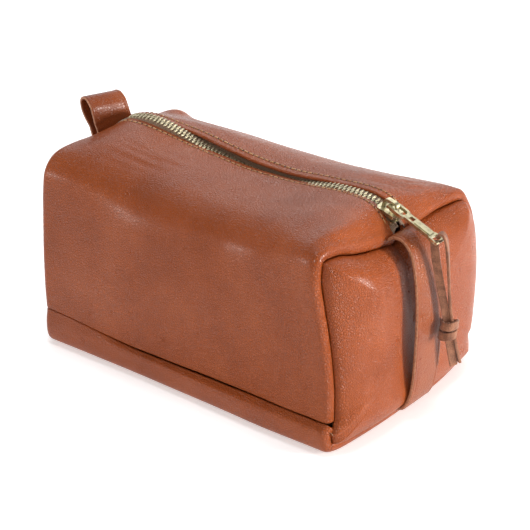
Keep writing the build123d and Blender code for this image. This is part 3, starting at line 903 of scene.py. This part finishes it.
def chain_places(first, last, pitch):
    """X of points a pitch apart along the chain."""
    fine = evenly(CHAIN, 2000)
    travelled = travel(fine)
    start, stop = np.interp([first, last], fine[:, 0], travelled)
    return np.interp(np.arange(start, stop, pitch), travelled, fine[:, 0])


def teeth(side, first, last):
    """One row of teeth. All parts of a tooth share its x, so that it moves as one."""
    sides = TOOTH_SIDES
    turn = 2 * math.pi * np.arange(sides) / sides
    round_x = np.sign(np.cos(turn)) * np.abs(np.cos(turn)) ** 0.55
    round_z = np.sign(np.sin(turn)) * np.abs(np.sin(turn)) ** 0.55
    vertices, faces, xs = [], [], []
    where = chain_places(first, last, TOOTH_PITCH)
    places, along, up = chain_frames(where)
    for x, place, ahead, above in zip(where, places, along, up):
        start = len(vertices)
        for across, half_length, half_height in TOOTH_SHAPE:
            for k in range(sides):
                point = place + round_x[k] * half_length * ahead + round_z[k] * half_height * above
                vertices.append(point + np.array([0, side * across, 0]))
        rows = len(TOOTH_SHAPE)
        faces += [quad[::side] for quad in tube_quads(start, rows, sides)]
        faces.append([start + k for k in range(sides)][::-side])
        faces.append([start + (rows - 1) * sides + k for k in range(sides)][::side])
        xs += [x] * (rows * sides)
    row = new_mesh("teeth_front" if side < 0 else "teeth_rear", vertices, faces, (zip_brass,))
    return row, np.array(xs)


def tape(side, panel):
    """Half of the zip tape, from its bead under the teeth to the sewing under the leather."""
    x = np.linspace(-0.1115, 0.112, 220)
    places, _along, up = chain_frames(x)
    edge = panel[ROLL_STEPS:-ROLL_STEPS]
    under = []
    for inset in (2, 8):
        row = edge[:, -inset]
        y = np.interp(x, row[:, 0], row[:, 1])
        z = np.interp(x, row[:, 0], row[:, 2])
        under.append(np.column_stack([x, y, z - LEATHER - 0.001]))
    bead = places + np.array([0, side * 0.0016, 0])
    near = places + np.array([0, side * 0.0036, 0]) - 0.0002 * up
    rows = [bead + 0.0005 * up, bead - 0.0005 * up, near, under[0], under[1]]
    grid = np.swapaxes(np.array(rows), 0, 1)
    piece = grid_mesh("tape_front" if side < 0 else "tape_rear", grid, (zip_tape,), flip=side > 0)
    thicken(piece, TAPE_THICKNESS, 0, 0)
    return piece


def edge_line(panel, inset):
    """Points and normals on a panel, a fixed distance in from its zip edge."""
    inside = panel[ROLL_STEPS:-ROLL_STEPS, BASE_ROLL_STEPS:]
    normal = normals_of(inside)
    points, normals = [], []
    for column, column_normal in zip(inside, normal):
        back = column[::-1]
        travelled = travel(back)
        points.append(look_up(inset, travelled, back))
        normals.append(look_up(inset, travelled, column_normal[::-1]))
    return np.array(points), np.array(normals)


def seam_frame(seam, distance):
    """Point, normal and heading at a distance along a seam: (travelled, points, normals)."""
    travelled, points, normals = seam
    point = look_up(distance, travelled, points)
    ahead = look_up(distance + 0.001, travelled, points)
    return point, unit(look_up(distance, travelled, normals)), unit(ahead - point)


def thread_row(name, seam, starts):
    """An arch of thread for each stitch, and for each vertex the x of its stitch."""
    vertices, faces, xs = [], [], []
    for start in starts:
        first = len(vertices)
        middle_x = seam_frame(seam, start + STITCH_PITCH / 2)[0][0]
        for t in np.linspace(0, 1, STITCH_STATIONS):
            shown = (1 - STITCH_SHARE) / 2 + STITCH_SHARE * t
            point, normal, heading = seam_frame(seam, start + STITCH_PITCH * shown)
            rise = STITCH_RISE * math.sin(math.pi * t) ** 0.6 - STITCH_SUNK
            cross = np.cross(normal, heading)
            thick = THREAD_RADIUS * (0.75 + 0.25 * math.sin(math.pi * t))
            for k in range(STITCH_SIDES):
                turn = 2 * math.pi * k / STITCH_SIDES
                offset = math.cos(turn) * cross + 0.8 * math.sin(turn) * normal
                vertices.append(point + rise * normal + thick * offset)
        quads = tube_quads(first, STITCH_STATIONS, STITCH_SIDES)
        faces += [(a, d, c, b) for a, b, c, d in quads]
        xs += [middle_x] * (STITCH_STATIONS * STITCH_SIDES)
    return new_mesh(name, vertices, faces, (stitch_thread,)), np.array(xs)


def hole_shades(name, seam, starts):
    """A disc of painted hole shade at each stitch start, and for each vertex the x of its hole."""
    vertices, faces, xs = [], [], []
    for start in starts:
        first = len(vertices)
        point, normal, heading = seam_frame(seam, start)
        cross = np.cross(normal, heading)
        for k in range(HOLE_SIDES):
            turn = 2 * math.pi * k / HOLE_SIDES
            offset = HOLE_LENGTH * math.cos(turn) * heading + HOLE_WIDTH * math.sin(turn) * cross
            vertices.append(point + 0.00008 * normal + offset)
            faces.append((first + k, first + (k + 1) % HOLE_SIDES, first + HOLE_SIDES))
        vertices.append(point + 0.0001 * normal)
        xs += [point[0]] * (HOLE_SIDES + 1)
    return new_mesh(name, vertices, faces, (hole_shade,)), np.array(xs)


def topstitch_seam(panel, outward):
    """The line that the topstitching follows beside the zip, and where its stitches start."""
    points, normals = edge_line(panel, STITCH_INSET)
    travelled = travel(points)
    starts = np.arange(STITCH_MARGIN, travelled[-1] - STITCH_MARGIN, STITCH_PITCH)
    return (travelled, points, normals * outward), starts


grab_strap()
hanging_loop()

for side, end, grid, outward in ((-1, "front", front_grid, 1), (1, "rear", rear_grid, -1)):
    # the two rows are half a pitch apart
    row, row_x = teeth(side, FIRST_TOOTH - side * TOOTH_PITCH / 4, LAST_TOOTH)
    as_piece(row, ("zip_teeth_" + end,))
    bend_with_fold(row, side, row_x)
    half_tape = tape(side, grid)
    as_piece(half_tape, ("zip_tape_" + end,))
    bend_with_fold(half_tape, side)
    seam, starts = topstitch_seam(grid, outward)
    stitches, stitches_x = thread_row("stitches_" + end, seam, starts)
    as_piece(stitches, ("topstitch_" + end,))
    bend_with_fold(stitches, side, stitches_x)
    # discs of painted shade where the needle holes are
    holes, holes_x = hole_shades("hole_shades_" + end, seam, starts)
    as_piece(holes)
    bend_with_fold(holes, side, holes_x)

for name in ("slider_body", "slider_bridge", "puller", "zip_top_stops", "zip_bottom_stop"):
    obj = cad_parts[name]
    obj.data.materials.clear()
    obj.data.materials.append(slider_brass)


# ---- Lace
# Routes of the two strands, from the puller's eye down
LACE_LEFT_ROUTE = [
    (0.1381, -0.0015, 0.1207), (0.1384, -0.001, 0.1117), (0.1402, 0.002, 0.0957),
    (0.1416, 0.0052, 0.0797), (0.1427, 0.0086, 0.0667), (0.1431, 0.0106, 0.0557),
    (0.1434, 0.013, 0.0437), (0.144, 0.0168, 0.0307),
]
LACE_RIGHT_ROUTE = [
    (0.1385, 0.0015, 0.1219), (0.1397, 0.0016, 0.1253), (0.1438, 0.002, 0.1239),
    (0.145, 0.0034, 0.1107), (0.1447, 0.0059, 0.0947), (0.1442, 0.0085, 0.0797),
    (0.1441, 0.0109, 0.0677), (0.1446, 0.013, 0.0567), (0.1452, 0.0159, 0.0447),
    (0.1458, 0.0198, 0.0327),
]
KNOT_CENTRE = (0.1438, 0.0106, 0.0585)
KNOT_TURNS = [
    # of the band round the strands: angle, height over the centre, distance out
    (-200, 0.0002, 0.0022), (-160, 0.0012, 0.0036), (-110, 0.0026, 0.0044), (-60, 0.0032, 0.0047),
    (-10, 0.0034, 0.005), (40, 0.0036, 0.0047), (90, 0.0036, 0.0044), (140, 0.0026, 0.0046),
    (190, 0.0006, 0.005), (240, -0.0016, 0.0054), (290, -0.003, 0.0058), (340, -0.0034, 0.0056),
    (390, -0.0028, 0.0052), (440, -0.0022, 0.0046), (490, -0.0016, 0.0036), (530, -0.001, 0.0022),
]
KNOT_CORE = (0.0036, 0.0044, 0.0062)


def knot_pieces():
    """Overhand knot: one end of the lace wound twice round a bundle of the strands."""
    turns = []
    for angle, height, out in KNOT_TURNS:
        a = math.radians(angle)
        turns.append((out * math.sin(a), -1.15 * out * math.cos(a), height))
    path = evenly(turns, 200)
    slant = np.array([0.0, 0.28, 1.0])
    across = np.tile(slant, (len(path), 1))
    wrap = ribbon("knot_wrap", path[::-1] + np.array(KNOT_CENTRE), across, 0.52 * LACE_WIDTH,
                  LACE_THICKNESS, band_section(), (lace_suede,))
    around = np.linspace(0, 2 * math.pi, 29)[:-1]
    rise = np.linspace(-math.pi / 2, math.pi / 2, 21)
    core = np.array([
        [(math.cos(b) * math.cos(a), math.cos(b) * math.sin(a), math.sin(b)) for b in rise]
        for a in around
    ])
    core = core * KNOT_CORE * (1 + 0.1 * uneven(core, 0.7, 4.0))[..., None] + KNOT_CENTRE
    faces = grid_faces(len(around), len(rise), closed=True)
    bundle = new_mesh("knot_bundle", core.reshape(-1, 3), faces, (lace_suede,))
    for piece in (wrap, bundle):
        as_piece(piece, ("lace_knot",), "lace")
    subdivide(wrap)
    return [wrap, bundle]


def spline_points(name, route, count):
    """Points along the smooth NURBS line of a route."""
    curve = bpy.data.curves.new(name, "CURVE")
    curve.dimensions = "3D"
    line = curve.splines.new("NURBS")
    line.points.add(len(route) - 1)
    for point, place in zip(line.points, route):
        point.co = (*place, 1)
    line.order_u = 3
    line.use_endpoint_u = True
    line.resolution_u = 24
    obj = add_object(name, curve)
    mesh = bpy.data.meshes.new_from_object(obj)
    points = np.array([v.co for v in mesh.vertices])
    bpy.data.objects.remove(obj)
    return respaced(points, count)


def lace(name, node_name, route, first_way, last_way, half_width):
    """A flat strand of split leather, turning from one way to another as it hangs."""
    path = spline_points(name + "_line", route, 160)
    share = np.linspace(0, 1, len(path))[:, None]
    across = np.array(first_way) * (1 - share) + np.array(last_way) * share
    section = band_section()
    strand = ribbon(name, path, across, half_width, LACE_THICKNESS, section, (lace_suede,))
    as_piece(strand, (node_name,), "lace")
    subdivide(strand)
    return strand, path


# ---- Camera, floor and lights
CAMERA_PLACE = (0.7175, -0.9025, 0.6351)
CAMERA_AZIMUTH = math.radians(38.1)
CAMERA_ELEVATION = math.radians(26.45)
CAMERA_LENS = 136.24
FLOOR_HALF = 4.0
FLOOR_DROP = 0.0002         # under the bag, so that the two don't touch
FLOOR_GLOW = 0.4
SKY_STRENGTH = 0.26


def aim(obj, place, heading):
    obj.location = place
    obj.rotation_euler = heading.to_track_quat("-Z", "Y").to_euler()


def make_camera():
    data = bpy.data.cameras.new("camera")
    data.sensor_width = 36
    data.lens = CAMERA_LENS
    data.clip_start = 0.01
    data.clip_end = 20
    camera = add_object("camera", data)
    level = math.cos(CAMERA_ELEVATION)
    heading = (-math.sin(CAMERA_AZIMUTH) * level, math.cos(CAMERA_AZIMUTH) * level,
               -math.sin(CAMERA_ELEVATION))
    aim(camera, CAMERA_PLACE, Vector(heading))
    bpy.context.scene.camera = camera


def area_light(name, place, target, size, power, color):
    data = bpy.data.lights.new(name, "AREA")
    data.shape = "RECTANGLE"
    data.size, data.size_y = size
    data.energy = power
    data.color = color
    aim(add_object(name, data), place, Vector(target) - Vector(place))


def make_floor():
    made, shader = new_material("floor_paper", (0.93, 0.93, 0.93), 0.9)
    place = node(made.node_tree, "ShaderNodeTexCoord").outputs["Object"]
    fibres = clouds_of(place, 60.0, 3.0)
    feed(shader, Normal=bump(fibres, 0.0002, 0.1),
         Emission_Color=(1, 1, 1, 1), Emission_Strength=FLOOR_GLOW)
    signs = [(-1, -1), (1, -1), (1, 1), (-1, 1)]
    corners = [(a * FLOOR_HALF, b * FLOOR_HALF, -FLOOR_DROP) for a, b in signs]
    floor = new_mesh("floor", corners, [(0, 1, 2, 3)], (made,))


def make_world():
    world = bpy.data.worlds.new("studio")
    world.use_nodes = True
    background = world.node_tree.nodes["Background"]
    feed(background, Color=(1.0, 1.0, 1.0, 1), Strength=SKY_STRENGTH)
    bpy.context.scene.world = world
    bpy.context.scene.view_settings.view_transform = "Standard"


left_strand, left_path = lace("lace_left", "lace_strand_left", LACE_LEFT_ROUTE,
                              (0.9, 0.43, 0), (0.62, 0.78, 0), LACE_WIDTH / 2)
right_strand, right_path = lace("lace_right", "lace_strand_right", LACE_RIGHT_ROUTE,
                                (0.3, -0.95, 0), (0.85, -0.52, 0), LACE_WIDTH / 2)
knot = knot_pieces()

make_camera()
make_floor()
make_world()
area_light("window_right", (1.15, 0.46, 0.24), (0, 0, 0.08), (0.3, 0.34), 19.0, (1.0, 0.98, 0.95))
area_light("window_front", (0.6, -1.35, 0.95), (0, 0, 0.07), (0.8, 0.6), 6.2, (1.0, 0.99, 0.97))
area_light("sky_behind", (-0.75, 1.25, 0.95), (0, 0, 0.05), (1.8, 1.2), 14.0, (0.97, 0.98, 1.0))
area_light("ceiling", (0.0, -0.1, 1.5), (0, 0, 0.05), (0.5, 0.5), 9.0, (0.98, 0.99, 1.0))
area_light("window_left", (-1.1, -1.15, 0.22), (0, 0, 0.08), (0.22, 0.22), 5.5, (1.0, 0.99, 0.98))
